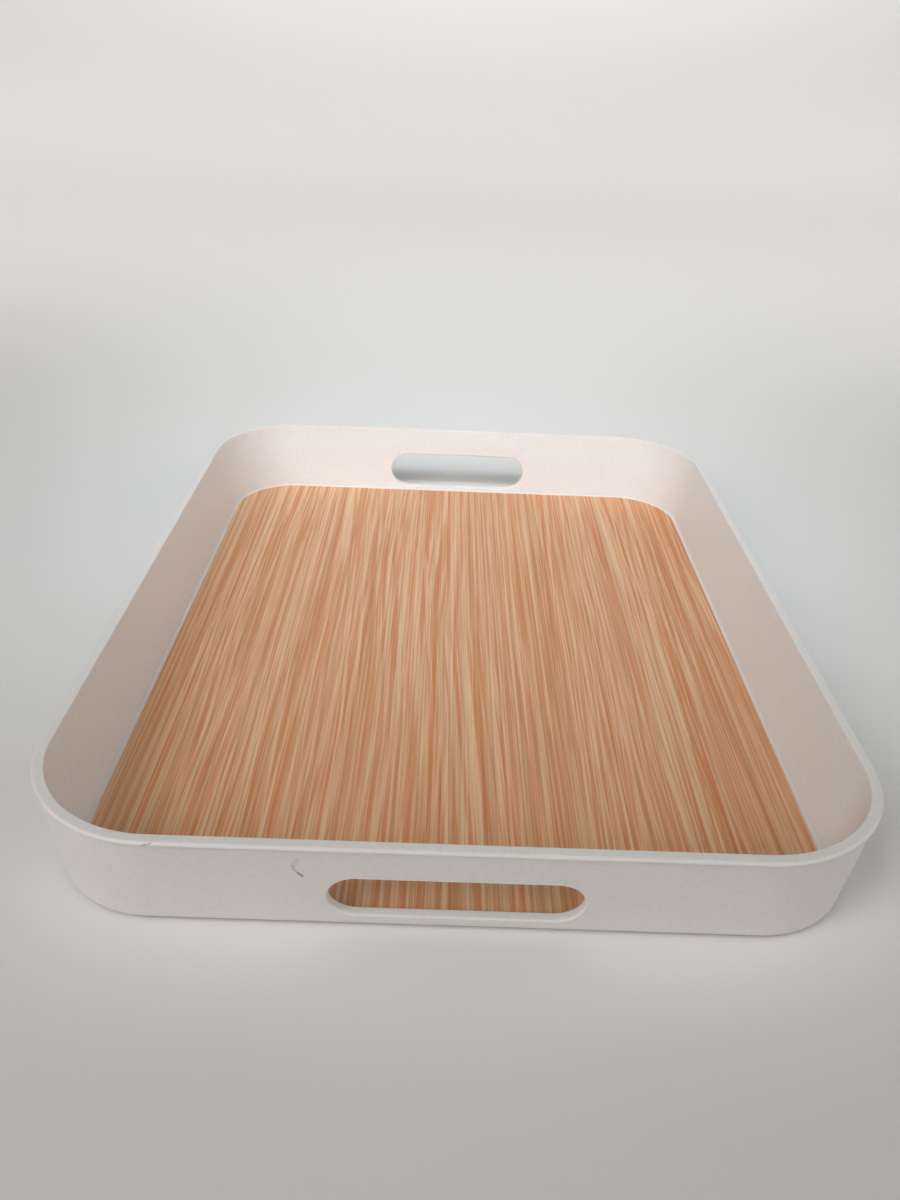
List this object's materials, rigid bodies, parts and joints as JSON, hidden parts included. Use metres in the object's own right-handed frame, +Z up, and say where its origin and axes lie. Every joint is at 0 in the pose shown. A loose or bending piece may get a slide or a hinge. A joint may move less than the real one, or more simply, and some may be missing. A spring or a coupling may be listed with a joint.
{
  "type": "serving tray",
  "caption": "Rectangular serving tray with flared off-white walls, rounded corners, a hand slot in each end wall and a wood-effect floor.",
  "frame": {"origin": "on the standing surface, under the centre of the tray", "axes": "+Z up, +Y along the tray's length from the front hand slot to the rear one, +X across its width to the right"},
  "size_m": [0.31, 0.4, 0.0445],
  "materials": {
    "shell": "moulded off-white, eggshell matte",
    "wood_effect": "warm tan straight-grain wood effect, satin",
    "adhesive": "cured bonding film",
    "pad": "soft grey silicone, matte"
  },
  "bodies": {
    "root": {"tray_shell": "shell", "wood_effect_panel": "wood_effect", "panel_adhesive_film": "adhesive", "foot_pad_front_left": "pad", "foot_pad_front_right": "pad", "foot_pad_rear_left": "pad", "foot_pad_rear_right": "pad"}
  },
  "joints": []
}
